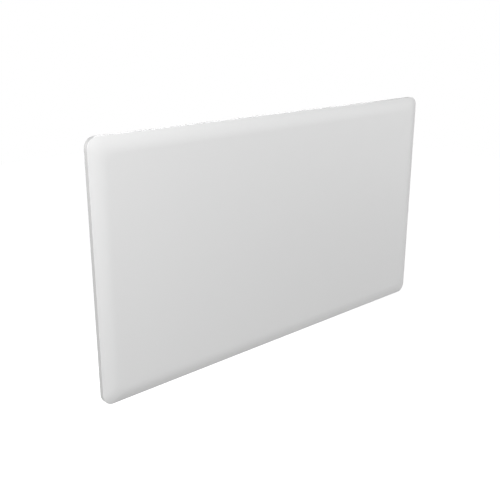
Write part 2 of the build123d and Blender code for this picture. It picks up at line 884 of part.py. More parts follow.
def control_box():
    """The moulded box for the controls, with board bosses and every opening in its walls."""
    corners = (casing_square_corner, casing_corner)
    shell = pan(box_left, box_right, corners, box_wall, box_wall, box_flange_y, (0, 1))
    for x in board_holes_x:
        for z in board_holes_z:
            shell += rod((x, board_back_y, z), (0, 1, 0), boss_height, boss_radius)
            shell -= rod((x, board_back_y, z), (0, 1, 0), boss_height, screw_radius)
    shell -= screw_holes(box_screw_places())
    shell -= lead_holes()
    wall = (box_inside_right - 1, box_right + 1)
    round_holes = [(knob_height, shaft_radius + shaft_fit), (button_height, button_radius + button_gap)]
    for z, radius in round_holes + [(lamp_height, lamp_radius)]:
        shell -= rod((wall[0], controls_y, z), (1, 0, 0), box_wall + 2, radius)
    shell -= block(wall, switch_span(switch_width / 2), switch_rise(switch_tall / 2))
    shell -= rod((box_mid, controls_y, -casing_half - 1), (0, 0, 1), box_wall + 2, gland_radius)
    for i in range(vent_slots):
        z = sensor_height + (i - (vent_slots - 1) / 2) * vent_pitch
        vent_y = (controls_y - vent_length / 2, controls_y + vent_length / 2)
        shell -= block(wall, vent_y, (z - vent_width / 2, z + vent_width / 2))
    return shell


def control_box_lid():
    """The flat lid on the front of the control box."""
    radii = (casing_square_corner, casing_corner + flange_width)
    plate = duct_prism(box_left, box_right + flange_width, flange_half, *radii, lid_y, box_flange_y)
    return plate - screw_holes(box_screw_places())


def control_board():
    """The main circuit board."""
    z_range = (board_bottom, board_bottom + board_tall)
    board = block((board_left, board_right), (board_front_y, board_back_y), z_range)
    for x in board_holes_x:
        for z in board_holes_z:
            board -= rod((x, board_front_y - 1, z), (0, 1, 0), board_sheet + 2, screw_radius + screw_fit)
    return board


def board_screws():
    """The screws that hold the main board to its bosses."""
    screws = []
    for x in board_holes_x:
        for z in board_holes_z:
            head = rod((x, board_front_y, z), (0, -1, 0), screw_head, screw_head_radius)
            shank = rod((x, board_front_y, z), (0, 1, 0), board_sheet + boss_height, screw_radius)
            screws.append(head + shank)
    return screws


def side_board():
    """The small board on edge that carries the selector, the button's switch and the lamp."""
    z_range = (lamp_height - side_board_margin, button_height + side_board_margin)
    y_low = controls_y - selector_size / 2
    return block((side_board_left, side_board_right), (y_low, board_front_y), z_range)


def board_part(x, width, depth, z, tall):
    """A component that stands on the front of the main board."""
    return block((x, x + width), (board_front_y - depth, board_front_y), (z, z + tall))


def board_connector():
    """The plug-in connector for the supply leads."""
    low = connector_mid - connector_width / 2
    return board_part(low, connector_width, connector_depth, board_bottom + part_inset / 2, connector_tall)


def relay():
    """The relay that switches the element."""
    return board_part(board_left + part_inset, relay_width, relay_depth, board_bottom + relay_rise, relay_tall)


def transformer():
    """The board's small transformer: a wound middle between two limbs."""
    x = board_left + part_inset
    z = board_bottom + transformer_rise
    core = board_part(x, transformer_width, transformer_depth, z, transformer_tall)
    side = transformer_width / 5
    depth = transformer_depth / 6
    front = (board_front_y - transformer_depth - 1, board_front_y - transformer_depth + depth)
    z_range = (z - 1, z + transformer_tall + 1)
    far = x + transformer_width
    core -= block((x - 1, x + side), front, z_range)
    return core - block((far - side, far + 1), front, z_range)


def selector():
    """The rotary selector behind the knob."""
    half = selector_size / 2
    y_range = (controls_y - half, controls_y + half)
    body = block((side_board_right, box_inside_right), y_range, (knob_height - half, knob_height + half))
    bore_start = (side_board_right + selector_back, controls_y, knob_height)
    return body - rod(bore_start, (1, 0, 0), selector_depth, shaft_radius + shaft_fit)


def selector_shaft():
    """The selector's shaft, which the knob is pressed onto."""
    start = side_board_right + selector_back + shaft_fit
    end = box_right + knob_gap + shaft_grip
    return rod((start, controls_y, knob_height), (1, 0, 0), end - start, shaft_radius)


def thermostat_knob():
    """The fluted knob with a round skirt and a pointer line cut across its face."""
    low = box_right + knob_gap
    skirt = rod((low, controls_y, knob_height), (1, 0, 0), knob_skirt_length, knob_skirt_radius)
    grip = rod((low, controls_y, knob_height), (1, 0, 0), knob_length, knob_radius)
    grip = fillet(grip.faces().sort_by(Axis.X)[-1].edges(), knob_edge)
    knob = skirt + grip
    start = low + knob_skirt_length
    for i in range(knob_flutes):
        angle = 2 * math.pi * i / knob_flutes
        y = controls_y + knob_radius * math.cos(angle)
        z = knob_height + knob_radius * math.sin(angle)
        knob -= rod((start, y, z), (1, 0, 0), knob_length, flute_radius)
    face = low + knob_length
    mark_y = (controls_y - flute_radius / 2, controls_y + flute_radius / 2)
    mark_z = (knob_height + knob_radius / 3, knob_height + knob_radius - knob_edge)
    mark = block((face - recess_depth / 2, face + 1), mark_y, mark_z)
    return knob - mark - rod((low - 1, controls_y, knob_height), (1, 0, 0), shaft_grip + 1, shaft_radius)


def switch_span(half):
    """A range across the power switch."""
    return (controls_y - half, controls_y + half)


def switch_rise(half):
    """A range up the power switch."""
    return (switch_height - half, switch_height + half)


def switch_housing():
    """The snap-in body of the power switch, with its bezel."""
    half_wide = switch_width / 2
    half_tall = switch_tall / 2
    body = block((box_right - switch_depth, box_right), switch_span(half_wide), switch_rise(half_tall))
    bezel_y = switch_span(half_wide + bezel_margin)
    bezel_z = switch_rise(half_tall + bezel_margin)
    body += block((box_right, box_right + bezel_thickness), bezel_y, bezel_z)
    inner_wide = half_wide - switch_wall
    inner_tall = half_tall - switch_wall
    back = box_right - rocker_pivot_depth - rocker_heel - 2 * switch_wall
    body -= block((back, box_right + bezel_thickness + 1), switch_span(inner_wide), switch_rise(inner_tall))
    pivot = (box_right - rocker_pivot_depth, controls_y - half_wide + switch_wall / 3, switch_height)
    return body - rod(pivot, (0, 1, 0), 2 * half_wide - 2 * switch_wall / 3, rocker_pivot_radius + shaft_fit)


def switch_blades():
    """The switch's blade terminals."""
    blades = []
    start = box_right - switch_depth
    for z in spread(switch_height - switch_tall / 3, switch_height + switch_tall / 3, 3):
        blade_z = (z - blade_sheet / 2, z + blade_sheet / 2)
        blades.append(block((start - blade_length, start), switch_span(blade_width / 2), blade_z))
    return blades


def power_rocker():
    """The rocker, turned to its off position about the pivot through it."""
    pivot_x = box_right - rocker_pivot_depth
    lean = math.radians(rocker_angle)
    centre = box_right + rocker_crown
    reach = centre - pivot_x + switch_tall / 2 * math.tan(lean)
    half_tall = switch_tall / 2 - switch_wall - rocker_gap - reach * math.sin(lean)
    end = centre + half_tall * math.tan(lean)
    heel = pivot_x - rocker_heel
    points = [
        (centre, switch_height),
        (end, switch_height + half_tall),
        (pivot_x, switch_height + half_tall),
        (heel, switch_height + rocker_pivot_radius),
        (heel, switch_height - rocker_pivot_radius),
        (pivot_x, switch_height - half_tall),
        (end, switch_height - half_tall),
    ]
    half_wide = switch_width / 2 - switch_wall - rocker_gap
    outline = Plane.XZ * make_face(Polyline(*points, close=True))
    rocker = extrude(Pos(0, controls_y + half_wide, 0) * outline, 2 * half_wide)
    pin_half = switch_width / 2 - switch_wall / 3 - shaft_fit
    rocker += rod((pivot_x, controls_y - pin_half, switch_height), (0, 1, 0), 2 * pin_half, rocker_pivot_radius)
    return rocker.rotate(Axis((pivot_x, controls_y, switch_height), (0, 1, 0)), rocker_angle)


def setback_button():
    """The push button, held in by a collar behind the wall."""
    face = box_right + button_proud
    stem_end = box_inside_right - button_collar - shaft_fit
    cap = rod((stem_end, controls_y, button_height), (1, 0, 0), face - stem_end, button_radius)
    cap = fillet(cap.faces().sort_by(Axis.X)[-1].edges(), button_edge)
    collar_radius = button_radius + button_gap + button_collar_margin
    return cap + rod((stem_end, controls_y, button_height), (1, 0, 0), button_collar, collar_radius)


def button_switch():
    """The small switch that the button presses."""
    half = button_switch_size / 2
    stem_end = box_inside_right - button_collar - shaft_fit
    face = stem_end - button_travel - shaft_fit
    y_range = (controls_y - half, controls_y + half)
    return block((side_board_right, face), y_range, (button_height - half, button_height + half))


def indicator_lens():
    """The lamp's light guide, from the side board to a domed end outside the wall."""
    length = box_right - side_board_right + lamp_proud
    guide = rod((side_board_right, controls_y, lamp_height), (1, 0, 0), length, lamp_radius)
    return fillet(guide.faces().sort_by(Axis.X)[-1].edges(), lamp_proud)


def cord_gland():
    """The cord gland in the box's floor, with a bore for a cord."""
    bottom = -casing_half
    top = -box_inside_half + gland_inside
    gland = rod((box_mid, controls_y, bottom), (0, 0, 1), top - bottom, gland_radius)
    low = bottom - gland_collar
    gland += rod((box_mid, controls_y, low), (0, 0, 1), gland_collar, gland_collar_radius)
    return gland - rod((box_mid, controls_y, low - 1), (0, 0, 1), top - low + 2, gland_bore)


def gland_lock_nut():
    """The six-sided nut on the gland inside the box."""
    plane = Plane(origin=(box_mid, controls_y, -box_inside_half), z_dir=(0, 0, 1))
    nut = extrude(plane * RegularPolygon(gland_collar_radius, 6), gland_nut)
    return nut - rod((box_mid, controls_y, -box_inside_half - 1), (0, 0, 1), gland_nut + 2, gland_radius)


def terminal_block():
    """The terminal block, with a barrier between poles and a recessed screw at each."""
    x_range = (box_mid - block_width / 2, box_mid + block_width / 2)
    body = block(x_range, (block_front_y, box_inside_y), (block_bottom, block_top))
    for x in pole_places:
        for z in (block_bottom + block_tall / 4, block_top - block_tall / 4):
            body -= rod((x, block_front_y - 1, z), (0, 1, 0), block_screw_depth + 1, block_screw_radius)
    return body


def room_sensor():
    """The room temperature sensor, upright behind the vent slots."""
    low = sensor_height - sensor_length / 2
    return rod((sensor_x, controls_y, low), (0, 0, 1), sensor_length, sensor_radius)


def sensor_holder():
    """The arm from the box's back that holds the sensor."""
    half = holder_width / 2
    z_range = (sensor_height, sensor_height + holder_height)
    arm = block((sensor_x - half, sensor_x + half), (controls_y - half, box_inside_y), z_range)
    return arm - rod((sensor_x, controls_y, sensor_height - 1), (0, 0, 1), holder_height + 2, sensor_radius)


def upright(x):
    """A channel that stands on the wall, open to the front, with a hook for the pivot at its foot."""
    outer = (x - upright_outer, x + upright_outer)
    inner = (x - upright_inner, x + upright_inner)
    base = block(outer, (-upright_sheet, 0), (upright_bottom, upright_top))
    legs = block(outer, (upright_front_y, 0), (pivot_height, upright_top))
    legs += block(outer, (pivot_y, 0), (pivot_height - hook_radius, pivot_height))
    legs += block(outer, (-upright_foot_lip, 0), (upright_bottom, pivot_height))
    legs += rod((outer[0], pivot_y, pivot_height), (1, 0, 0), upright_width, hook_radius)
    slot = pivot_radius + pivot_slot_gap
    mouth = pivot_height + hook_lift
    cut = block(outer, (pivot_y - slot, pivot_y + slot), (pivot_height, mouth))
    cut += rod((outer[0], pivot_y, pivot_height), (1, 0, 0), upright_width, slot)
    cut += rod((outer[0], pivot_y, mouth), (1, 0, 0), upright_width, slot)
    cut += block(outer, (upright_front_y - 1, pivot_y), (mouth - slot, mouth + slot))
    legs -= cut
    legs -= block(inner, (upright_front_y - 1, -upright_sheet), (upright_bottom - 1, upright_top + 1))
    channel = base + legs
    for z in (-wall_hole_spacing / 2, wall_hole_spacing / 2):
        channel -= rod((x, -2 * upright_sheet, z), (0, 1, 0), 3 * upright_sheet, wall_hole_radius)
    return channel - crossbar_rivet_holes()


def crossbar_rivet_places():
    """Where the crossbars' end tabs are riveted to the uprights: x at the tab's face, z and side."""
    reach = upright_spacing / 2 - upright_outer - upright_sheet
    return [(side * reach, z, side) for side in (-1, 1) for z in (-crossbar_offset, crossbar_offset)]


def crossbar_rivet_holes():
    """Holes through the tabs and the uprights' inner legs."""
    y = -crossbar_tab / 2 - upright_sheet
    length = 2 * upright_sheet + 2
    return [rod((x - side, y, z), (side, 0, 0), length, rivet_radius) for x, z, side in crossbar_rivet_places()]


def crossbar_rivets():
    """The rivets between crossbars and uprights."""
    y = -crossbar_tab / 2 - upright_sheet
    return [rivet((x, y, z), (side, 0, 0), 2 * upright_sheet) for x, z, side in crossbar_rivet_places()]


def crossbar(z):
    """A folded bar between the uprights, lipped above and below, with a tab at each end."""
    end = upright_spacing / 2 - upright_outer
    low = z - crossbar_height / 2
    high = z + crossbar_height / 2
    bar = block((-end, end), (-crossbar_lip, 0), (low, high))
    inside_y = (-crossbar_lip - 1, -upright_sheet)
    bar -= block((-end - 1, end + 1), inside_y, (low + upright_sheet, high - upright_sheet))
    for side in (-1, 1):
        bar += block((side * (end - upright_sheet), side * end), (-crossbar_tab, 0), (low, high))
    return bar - crossbar_rivet_holes()


def pivot_ears(x):
    """A plate on the duct's back with two ears, one outside each leg of the upright."""
    low = pivot_height - ear_plate_height / 2
    high = pivot_height + ear_plate_height / 2
    half = ear_outer + ear_plate_margin
    plate = block((x - half, x + half), (casing_back_y, ear_back_y), (low, high))
    for side in (-1, 1):
        ear_x = x + side * ear_inner
        ear = rod((ear_x, pivot_y, pivot_height), (side, 0, 0), ear_sheet, ear_radius)
        ear_z = (pivot_height - ear_radius, pivot_height + ear_radius)
        ear += block((ear_x, ear_x + side * ear_sheet), (casing_back_y, pivot_y), ear_z)
        plate += ear
    plate -= rod((x - half, pivot_y, pivot_height), (1, 0, 0), 2 * half, pivot_radius)
    return plate - rivet_holes()


def pivot_pins():
    """The pins that hang in the uprights' hooks, headed at both ends."""
    pins = []
    for side in (-1, 1):
        start = side * upright_spacing / 2 - ear_outer
        pin = rod((start, pivot_y, pivot_height), (1, 0, 0), 2 * ear_outer, pivot_radius)
        pin += rod((start, pivot_y, pivot_height), (-1, 0, 0), pivot_head, pivot_head_radius)
        pin += rod((start + 2 * ear_outer, pivot_y, pivot_height), (1, 0, 0), pivot_head, pivot_head_radius)
        pins.append(pin)
    return pins


def stop_length():
    """The length at which a stop's lower edge meets the upright's foot at the tilt limit."""
    tilt = math.radians(tilt_limit)
    drop = pivot_height - stop_height + stop_radius
    reach = -upright_sheet - stop_gap - pivot_y
    return pivot_setback + (reach - drop * math.sin(tilt)) / math.cos(tilt)


def tilt_stops():
    """Rubber stops on the duct's back, one behind each upright's foot."""
    places = [side * upright_spacing / 2 for side in (-1, 1)]
    return [rod((x, casing_back_y, stop_height), (0, 1, 0), stop_length(), stop_radius) for x in places]


def lock_catches():
    """Angle pieces on the duct's back, each with a hole that a lock bolt drops into."""
    catches = []
    for side in (-1, 1):
        x = side * upright_spacing / 2
        half = catch_width / 2
        plate_z = (catch_top - catch_plate_height, catch_top)
        plate = block((x - half, x + half), (casing_back_y, catch_back_y), plate_z)
        tongue_y = (casing_back_y, casing_back_y + catch_reach)
        tongue = block((x - half, x + half), tongue_y, (catch_top - catch_sheet, catch_top))
        hole = rod((x, bolt_y, catch_top - 2 * catch_sheet), (0, 0, 1), 3 * catch_sheet, bolt_radius + bolt_fit)
        catches.append(plate + tongue - hole - rivet_holes())
    return catches


def bolt_guides():
    """Brackets welded inside the uprights, each with two shelves that guide a bolt."""
    guides = []
    for side in (-1, 1):
        x = side * upright_spacing / 2
        half = upright_inner - guide_side_gap
        front = upright_front_y + guide_front_gap
        top = guide_high + guide_sheet
        guide = block((x - half, x + half), (front, -upright_sheet), (bolt_tip, top))
        gap_y = (front - 1, -upright_sheet - guide_sheet)
        guide -= block((x - half - 1, x + half + 1), gap_y, (guide_low, guide_high))
        bore = rod((x, bolt_y, bolt_tip - 1), (0, 0, 1), top - bolt_tip + 2, bolt_radius + bolt_fit)
        guides.append(guide - bore)
    return guides


def lock_bolt(side):
    """A lock bolt, drawn up clear of its catch: a rod, a collar between the shelves and a round head."""
    x = side * upright_spacing / 2
    stem = rod((x, bolt_y, bolt_tip), (0, 0, 1), bolt_head_low - bolt_tip, bolt_radius)
    collar = rod((x, bolt_y, collar_low), (0, 0, 1), bolt_collar, bolt_collar_radius)
    head = rod((x, bolt_y, bolt_head_low), (0, 0, 1), bolt_head, bolt_head_radius)
    return stem + collar + fillet(head.edges().filter_by(GeomType.CIRCLE), bolt_head_edge)


def screws(places, y_tip):
    """Screws from behind the ledge at the given places."""
    return [screw(x, z, rim_back_y, y_tip) for x, z in places]


def write(name, shape):
    """One STEP file for a node; a list of pieces becomes one group of separate solids."""
    body = Compound(children=list(shape)) if isinstance(shape, list) else shape
    export_step(body, f"parts/{name}.step")


os.makedirs("parts", exist_ok=True)
write("front_cover", front_cover())
write("cover_tabs", cover_tabs())
write("cover_screws", screws(cover_screw_places(), tab_foot_y - screw_tip))
write("rim_frame", rim_frame())
write("duct_casing", duct_casing())
write("duct_front_plate", duct_front_plate())
write("duct_screws", screws(duct_screw_places(), front_plate_y - screw_tip))
write("outlet_grille", grille(casing_inside_half - grille_sheet))
write("inlet_grille", grille(-casing_inside_half))
write("element_tube", element_tube())
write("element_pins", element_pins())
write("element_fins", element_fins())
write("left_element_hanger", element_hanger(-1))
write("right_element_hanger", element_hanger(1))
write("hanger_bushes", hanger_bushes())
write("cutout_bracket", cutout_bracket())
write("overheat_cutout", overheat_cutout())
write("casing_rivets", casing_rivets())
write("earth_stud", earth_stud())
write("earth_lead", earth_lead())
write("lead_grommets", lead_grommets())
write("upper_element_lead", upper_element_lead())
write("lower_element_lead", lower_element_lead())
write("supply_leads", supply_leads())
write("control_box", control_box())
write("control_box_lid", control_box_lid())
write("box_screws", screws(box_screw_places(), lid_y - screw_tip))
write("control_board", control_board())
write("board_screws", board_screws())
write("side_board", side_board())
write("board_connector", board_connector())
write("relay", relay())
write("transformer", transformer())
write("selector", selector())
write("selector_shaft", selector_shaft())
write("thermostat_knob", thermostat_knob())
write("switch_housing", switch_housing())
write("switch_blades", switch_blades())
write("power_rocker", power_rocker())
write("setback_button", setback_button())
write("button_switch", button_switch())
write("indicator_lens", indicator_lens())
write("cord_gland", cord_gland())
write("gland_lock_nut", gland_lock_nut())
write("terminal_block", terminal_block())
write("room_sensor", room_sensor())
write("sensor_holder", sensor_holder())
write("left_upright", upright(-upright_spacing / 2))
write("right_upright", upright(upright_spacing / 2))
write("upper_crossbar", crossbar(crossbar_offset))
write("lower_crossbar", crossbar(-crossbar_offset))
write("crossbar_rivets", crossbar_rivets())
write("bolt_guides", bolt_guides())
write("left_lock_bolt", lock_bolt(-1))
write("right_lock_bolt", lock_bolt(1))
write("left_pivot_ears", pivot_ears(-upright_spacing / 2))
write("right_pivot_ears", pivot_ears(upright_spacing / 2))
write("pivot_pins", pivot_pins())
write("tilt_stops", tilt_stops())
write("lock_catches", lock_catches())
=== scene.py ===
"""The looks of the wall-hung convector heater: its pressed front, finishes, light and camera."""

import math

import bpy
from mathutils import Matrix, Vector


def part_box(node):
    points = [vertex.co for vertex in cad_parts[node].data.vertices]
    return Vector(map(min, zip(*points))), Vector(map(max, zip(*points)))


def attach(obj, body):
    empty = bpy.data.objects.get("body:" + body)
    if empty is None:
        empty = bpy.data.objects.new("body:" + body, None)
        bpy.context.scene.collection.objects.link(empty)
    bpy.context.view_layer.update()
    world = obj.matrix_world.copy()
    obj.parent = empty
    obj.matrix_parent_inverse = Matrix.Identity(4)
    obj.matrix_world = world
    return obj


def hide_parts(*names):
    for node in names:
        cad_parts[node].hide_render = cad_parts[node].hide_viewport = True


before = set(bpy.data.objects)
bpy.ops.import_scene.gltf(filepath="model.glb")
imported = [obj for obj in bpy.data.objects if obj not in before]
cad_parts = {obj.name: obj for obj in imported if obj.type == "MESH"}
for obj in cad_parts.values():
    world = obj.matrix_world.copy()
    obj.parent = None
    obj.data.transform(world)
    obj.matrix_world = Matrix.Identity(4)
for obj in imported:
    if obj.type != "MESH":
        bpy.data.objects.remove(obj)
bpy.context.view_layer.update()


# Front cover: one sheet of steel, pressed and powder-coated white. Its face is flat, its edge curves back all
# round, and behind the curve the sheet turns in as a narrow return that tabs hold to the rim.

cover_low, cover_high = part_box("front_cover")
cover_sheet = 0.001
return_inset = 0.001
cover_corner_radius = 0.0165
cover_edge_radius = 0.045
cover_edge_angle = math.radians(34)
corner_steps = 12
curve_steps = 20
smooth_angle = math.radians(20)
white_paint = (0.74, 0.74, 0.74)
paint_roughness = (0.36, 0.48)
paint_patch = 0.03
paint_gloss = 0.3
paint_cell = 0.0016
paint_height = 0.000006
tone_ends = (0.35, 0.65)


def new_finish(name, colour, metallic, roughness):
    """A material with one plain surface shader."""
    finish = bpy.data.materials.new(name)
    finish.use_nodes = True
    shader = finish.node_tree.nodes["Principled BSDF"]
    shader.inputs["Base Color"].default_value = (*colour, 1)
    shader.inputs["Metallic"].default_value = metallic
    shader.inputs["Roughness"].default_value = roughness
    return finish


def noise_in(finish, cell):
    """A noise of about that cell width in the piece's own space."""
    nodes = finish.node_tree.nodes
    place = nodes.new("ShaderNodeTexCoord")
    noise = nodes.new("ShaderNodeTexNoise")
    noise.inputs["Scale"].default_value = 1 / cell
    finish.node_tree.links.new(place.outputs["Object"], noise.inputs["Vector"])
    return noise.outputs[0]


def add_grain(finish, cell, height):
    """Fine unevenness of about that cell width and height."""
    nodes = finish.node_tree.nodes
    links = finish.node_tree.links
    bump = nodes.new("ShaderNodeBump")
    bump.inputs["Distance"].default_value = height
    links.new(noise_in(finish, cell), bump.inputs["Height"])
    links.new(bump.outputs["Normal"], nodes["Principled BSDF"].inputs["Normal"])
    return finish


def add_mottle(finish, cell, roughness):
    """Soft patches of that width, whose roughness varies between two values."""
    nodes = finish.node_tree.nodes
    links = finish.node_tree.links
    sheen = nodes.new("ShaderNodeMapRange")
    sheen.inputs["To Min"].default_value = roughness[0]
    sheen.inputs["To Max"].default_value = roughness[1]
    links.new(noise_in(finish, cell), sheen.inputs["Value"])
    links.new(sheen.outputs["Result"], nodes["Principled BSDF"].inputs["Roughness"])
    return finish


def add_tones(finish, cell, first, second):
    """Soft patches of that width, whose colour varies between two tones."""
    nodes = finish.node_tree.nodes
    links = finish.node_tree.links
    tones = nodes.new("ShaderNodeValToRGB")
    tones.color_ramp.elements[0].position = tone_ends[0]
    tones.color_ramp.elements[0].color = (*first, 1)
    tones.color_ramp.elements[1].position = tone_ends[1]
    tones.color_ramp.elements[1].color = (*second, 1)
    links.new(noise_in(finish, cell), tones.inputs["Fac"])
    links.new(tones.outputs["Color"], nodes["Principled BSDF"].inputs["Base Color"])
    return finish


def paint(name, colour):
    """Satin powder coat, with the slight unevenness of baked powder."""
    finish = add_mottle(new_finish(name, colour, 0, paint_roughness[0]), paint_patch, paint_roughness)
    finish.node_tree.nodes["Principled BSDF"].inputs["Specular IOR Level"].default_value = paint_gloss
    return add_grain(finish, paint_cell, paint_height)


def dress(finish, *names):
    """Gives CAD nodes a finish."""
    for name in names:
        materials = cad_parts[name].data.materials
        materials.clear()
        materials.append(finish)


def curve_points(radius, angle):
    """Insets and depths along the curved edge at a radius, from the flat face out to an angle."""
    width = cover_edge_radius * math.sin(cover_edge_angle)
    centre_y = cover_low.y + cover_edge_radius
    turns = [angle * step / curve_steps for step in range(curve_steps + 1)]
    return [(width - radius * math.sin(turn), centre_y - radius * math.cos(turn)) for turn in turns]


def cover_profile():
    """The sheet's section, from the flat of its inside, round the return, to the flat of its outside."""
    inner_inset = return_inset + cover_sheet
    inside_radius = cover_edge_radius - cover_sheet
    inside_width = cover_edge_radius * math.sin(cover_edge_angle) - inner_inset
    inside = curve_points(inside_radius, math.asin(inside_width / inside_radius))
    outside = curve_points(cover_edge_radius, cover_edge_angle)[::-1]
    hem_y = outside[0][1] + cover_sheet
    back = [(inner_inset, cover_high.y), (return_inset, cover_high.y)]
    hem = [(return_inset, hem_y), (0, hem_y)]
    flat_start = (outside[-1][0] + cover_sheet, cover_low.y)
    return inside + back + hem + outside + [flat_start]


def resize_ring(half_x, half_z, inset, next_inset):
    """Scales the selected face from one inset to the next."""
    scale_x = (half_x - next_inset) / (half_x - inset)
    scale_z = (half_z - next_inset) / (half_z - inset)
    bpy.ops.transform.resize(value=(scale_x, 1, scale_z), center_override=(0, 0, 0))


def sweep_rings(name, half_x, half_z, corner_radius, profile):
    """A closed surface through rounded rectangles, each given as an inset from the outline and a depth."""
    bpy.ops.object.select_all(action="DESELECT")
    bpy.ops.mesh.primitive_plane_add(size=2, rotation=(math.pi / 2, 0, 0))
    bpy.ops.object.transform_apply()
    piece = bpy.context.object
    piece.name = name
    bpy.ops.object.mode_set(mode="EDIT")
    bpy.ops.mesh.select_mode(type="FACE")
    bpy.ops.mesh.select_all(action="SELECT")
    bpy.ops.transform.resize(value=(half_x, 1, half_z), center_override=(0, 0, 0))
    bpy.ops.mesh.bevel(offset=corner_radius, segments=corner_steps, affect="VERTICES")
    bpy.ops.mesh.select_all(action="SELECT")
    first_inset, first_depth = profile[0]
    bpy.ops.transform.translate(value=(0, first_depth, 0))
    resize_ring(half_x, half_z, 0, first_inset)
    for (inset, depth), (next_inset, next_depth) in zip(profile, profile[1:]):
        bpy.ops.mesh.extrude_region_move(TRANSFORM_OT_translate={"value": (0, next_depth - depth, 0)})
        resize_ring(half_x, half_z, inset, next_inset)
    bpy.ops.mesh.select_all(action="SELECT")
    bpy.ops.mesh.normals_make_consistent(inside=False)
    bpy.ops.object.mode_set(mode="OBJECT")
    bpy.ops.object.shade_smooth_by_angle(angle=smooth_angle)
    return piece


white_coat = paint("white_coat", white_paint)
cover = sweep_rings("pressed_cover", cover_high.x, cover_high.z, cover_corner_radius, cover_profile())
cover.data.materials.append(white_coat)
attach(cover, "heater")
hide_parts("front_cover")


# Rim frame and grilles: the rim is the pale grey band behind the cover, folded from thin sheet. The
# grilles are white slotted sheets at the duct's top and bottom.

grey_paint = (0.499, 0.499, 0.499)

pale_grey_coat = paint("pale_grey_coat", grey_paint)
dress(pale_grey_coat, "rim_frame")
dress(white_coat, "outlet_grille", "inlet_grille")


# Duct, hangers and other folded sheet: bare galvanised steel, whose zinc shows as spangles that each catch
# the light a little differently.

zinc_dull = (0.40, 0.42, 0.44)
zinc_bright = (0.58, 0.60, 0.62)
zinc_metal = 0.85
spangle_cell = 0.011
spangle_roughness = (0.34, 0.52)


def add_spangle(finish, cell, roughness, first, second):
    """Cells of that width, each with its own roughness and tone."""
    nodes = finish.node_tree.nodes
    links = finish.node_tree.links
    surface = nodes["Principled BSDF"]
    place = nodes.new("ShaderNodeTexCoord")
    cells = nodes.new("ShaderNodeTexVoronoi")
    cells.inputs["Scale"].default_value = 1 / cell
    sheen = nodes.new("ShaderNodeMapRange")
    sheen.inputs["To Min"].default_value = roughness[0]
    sheen.inputs["To Max"].default_value = roughness[1]
    tones = nodes.new("ShaderNodeValToRGB")
    tones.color_ramp.elements[0].color = (*first, 1)
    tones.color_ramp.elements[1].color = (*second, 1)
    links.new(place.outputs["Object"], cells.inputs["Vector"])
    links.new(cells.outputs["Color"], sheen.inputs["Value"])
    links.new(cells.outputs["Color"], tones.inputs["Fac"])
    links.new(sheen.outputs["Result"], surface.inputs["Roughness"])
    links.new(tones.outputs["Color"], surface.inputs["Base Color"])
    return finish


galvanised = new_finish("galvanised_sheet", zinc_dull, zinc_metal, spangle_roughness[0])
add_spangle(galvanised, spangle_cell, spangle_roughness, zinc_dull, zinc_bright)
dress(galvanised, "duct_casing", "duct_front_plate", "left_element_hanger", "right_element_hanger")
dress(galvanised, "cutout_bracket", "left_pivot_ears", "right_pivot_ears", "lock_catches")


# Heating element: a steel-sheathed tube dulled by heat, pressed through a row of thin aluminium fins, held in
# the hangers by glazed ceramic bushes.

sheath_brown = (0.30, 0.26, 0.22)
sheath_grey = (0.46, 0.43, 0.40)
sheath_metal = 0.9
sheath_roughness = 0.45
sheath_patch = 0.02
sheath_cell = 0.002
fin_colour = (0.82, 0.83, 0.84)
fin_roughness = (0.26, 0.42)
fin_patch = 0.01
fin_cell = 0.004
glaze_dark = (0.80, 0.77, 0.70)
glaze_pale = (0.88, 0.86, 0.80)
glaze_roughness = 0.25
glaze_patch = 0.002
glaze_cell = 0.003
glaze_height = 0.000005
coarse_height = 0.00001

sheath_steel = new_finish("sheath_steel", sheath_brown, sheath_metal, sheath_roughness)
add_tones(sheath_steel, sheath_patch, sheath_brown, sheath_grey)
add_grain(sheath_steel, sheath_cell, coarse_height)
dress(sheath_steel, "element_tube")

fin_aluminium = new_finish("fin_aluminium", fin_colour, 1, fin_roughness[0])
add_mottle(fin_aluminium, fin_patch, fin_roughness)
add_grain(fin_aluminium, fin_cell, coarse_height)
dress(fin_aluminium, "element_fins")

bush_ceramic = new_finish("bush_ceramic", glaze_dark, 0, glaze_roughness)
add_tones(bush_ceramic, glaze_patch, glaze_dark, glaze_pale)
add_grain(bush_ceramic, glaze_cell, glaze_height)
dress(bush_ceramic, "hanger_bushes")


# Fasteners and small turned parts: zinc-plated steel screws, rivets, tabs and pins. The earth stud and the
# switch blades, which carry current, are brass.

plating_grey = (0.56, 0.57, 0.58)
plating_pale = (0.68, 0.68, 0.66)
brass_dark = (0.64, 0.50, 0.27)
brass_pale = (0.78, 0.66, 0.40)
bright_roughness = 0.3
bright_patch = 0.003
bright_cell = 0.001
bright_height = 0.000004


def bright_metal(name, first, second):
    """The smooth metal of a small turned or stamped part, in two close tones."""
    finish = new_finish(name, first, 1, bright_roughness)
    add_tones(finish, bright_patch, first, second)
    return add_grain(finish, bright_cell, bright_height)


zinc_fastener = bright_metal("zinc_fastener", plating_grey, plating_pale)
blade_brass = bright_metal("blade_brass", brass_dark, brass_pale)
dress(zinc_fastener, "cover_tabs", "cover_screws", "duct_screws", "casing_rivets", "box_screws")
dress(zinc_fastener, "board_screws", "element_pins", "selector_shaft", "crossbar_rivets", "pivot_pins")
dress(blade_brass, "earth_stud", "switch_blades")


# Leads, grommets and stops: the leads are insulated with pale silicone. The grommets that line the lead holes
# and the stops that end the tilt are black rubber, pushed into their holes.

silicone = (0.66, 0.64, 0.58)
silicone_roughness = (0.46, 0.64)
silicone_patch = 0.01
silicone_cell = 0.001
silicone_height = 0.000005
rubber_dark = (0.022, 0.022, 0.022)
rubber_pale = (0.045, 0.045, 0.045)
rubber_roughness = 0.7
rubber_patch = 0.004
rubber_cell = 0.0012

